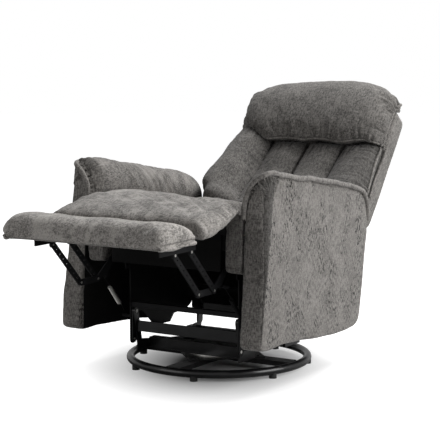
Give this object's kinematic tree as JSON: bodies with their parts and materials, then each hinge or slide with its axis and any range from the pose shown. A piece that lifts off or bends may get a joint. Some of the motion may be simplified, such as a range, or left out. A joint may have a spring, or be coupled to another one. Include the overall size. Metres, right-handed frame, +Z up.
{
  "type": "swivel glider recliner",
  "caption": "Padded recliner armchair with channelled back, head pillow and fold-out footrest, on glider links and a swivel ring base with a spoked centre.",
  "frame": {"origin": "on the floor at the swivel axis, in the middle of the chair", "axes": "+Z up, -Y the way the sitter faces, +X the sitter's left"},
  "size_m": [0.714, 1.5041, 0.8667],
  "materials": {
    "black_steel": "gloss black paint",
    "zinc_steel": "bright zinc plate",
    "timber": "raw plywood and softwood",
    "grey_chenille": "mottled chenille over foam",
    "black_cloth": "thin black non-woven cloth",
    "black_plastic": "matt moulded"
  },
  "bodies": {
    "base": {"base_ring": "black_steel", "star_base": "black_steel", "floor_glides": "black_plastic", "lower_race": "zinc_steel", "bearing_balls": "zinc_steel", "ball_cage": "black_plastic"},
    "swivel_frame": {"upper_race": "zinc_steel", "swivel_plate": "black_steel", "swivel_bolt": "zinc_steel", "front_lower_beam": "black_steel", "rear_lower_beam": "black_steel", "front_posts": "black_steel", "rear_posts": "black_steel", "front_spreader_bar": "black_steel", "rear_spreader_bar": "black_steel", "upper_glide_pins": "zinc_steel"},
    "glide_links_front": {"front_hanging_links": "black_steel"},
    "glide_links_rear": {"rear_hanging_links": "black_steel"},
    "chassis": {"lower_glide_pins": "zinc_steel", "hanging_plate_left": "black_steel", "hanging_plate_right": "black_steel", "mechanism_plate_left": "black_steel", "mechanism_plate_right": "black_steel", "front_cross_rail": "black_steel", "rear_cross_rail": "black_steel", "arm_brackets": "black_steel", "arm_frame_left": "timber", "arm_frame_right": "timber", "arm_cover_left": "grey_chenille", "arm_cover_right": "grey_chenille", "arm_pad_left": "grey_chenille", "arm_pad_right": "grey_chenille", "seat_frame_rails": "timber", "seat_springs": "zinc_steel", "seat_cushion": "grey_chenille", "front_cloth_band": "black_cloth", "rear_panel": "black_cloth", "corner_blocks": "grey_chenille", "calf_pad": "grey_chenille", "footrest_springs": "zinc_steel", "release_housing": "black_plastic", "release_cable": "black_plastic", "crank_rivets": "zinc_steel", "recline_pins": "zinc_steel"},
    "back": {"back_stiles": "timber", "back_rails": "timber", "back_webbing": "black_cloth", "back_shell": "grey_chenille", "back_cushion": "grey_chenille", "head_pillow": "grey_chenille", "back_hinge_brackets": "black_steel"},
    "footrest": {"footrest_board": "timber", "footrest_pad": "grey_chenille", "footrest_brackets": "black_steel", "rear_link_rivets": "zinc_steel"},
    "cranks": {"cranks": "black_steel", "front_link_rivets": "zinc_steel"},
    "front_links": {"front_links": "black_steel"},
    "rear_links": {"rear_links": "black_steel"},
    "release_handle": {"release_handle": "black_plastic"}
  },
  "joints": [
    {"name": "swivel", "type": "hinge", "parent": "base", "child": "swivel_frame", "pos_m": [0, 0, 0.045], "axis": [0, 0, 1], "continuous": true},
    {"name": "front_link_swing", "type": "hinge", "parent": "swivel_frame", "child": "glide_links_front", "pos_m": [0, -0.196, 0.18], "axis": [1, 0, 0], "range_deg": [-18, 18]},
    {"name": "rear_link_swing", "type": "hinge", "parent": "swivel_frame", "child": "glide_links_rear", "pos_m": [0, 0.196, 0.18], "axis": [1, 0, 0], "range_deg": [-18, 18]},
    {"name": "glide", "type": "hinge", "parent": "glide_links_front", "child": "chassis", "pos_m": [0, -0.196, 0.09], "axis": [1, 0, 0], "range_deg": [-18, 18]},
    {"name": "recline", "type": "hinge", "parent": "chassis", "child": "back", "pos_m": [0, 0.28329, 0.38068], "axis": [1, 0, 0], "range_deg": [-14, 20]},
    {"name": "footrest_fold", "type": "hinge", "parent": "chassis", "child": "footrest", "pos_m": [0, -0.38324, 0.51961], "axis": [1, 0, 0], "range_deg": [0, 86], "deforming": ["calf_pad"]},
    {"name": "crank_turn", "type": "hinge", "parent": "chassis", "child": "cranks", "pos_m": [0, -0.25326, 0.38863], "axis": [1, 0, 0], "range_deg": [0, 86], "deforming": ["footrest_springs"]},
    {"name": "front_link_turn", "type": "hinge", "parent": "cranks", "child": "front_links", "pos_m": [0, -0.45496, 0.30539], "axis": [1, 0, 0], "range_deg": [-86, 0]},
    {"name": "rear_link_turn", "type": "hinge", "parent": "cranks", "child": "rear_links", "pos_m": [0, -0.36974, 0.30545], "axis": [1, 0, 0], "range_deg": [-86, 0]},
    {"name": "release_pull", "type": "hinge", "parent": "chassis", "child": "release_handle", "pos_m": [-0.352, -0.04695, 0.38873], "axis": [0, 0.9976, -0.0698], "range_deg": [0, 35], "stiffness_Nm_per_rad": 0.4, "springref_deg": -11.46}
  ],
  "couplings": [
    {"joint": "front_link_swing", "follows": "glide", "ratio": -1},
    {"joint": "rear_link_swing", "follows": "glide", "ratio": -1},
    {"joint": "crank_turn", "follows": "footrest_fold", "ratio": 1},
    {"joint": "front_link_turn", "follows": "footrest_fold", "ratio": -1},
    {"joint": "rear_link_turn", "follows": "footrest_fold", "ratio": -1}
  ]
}
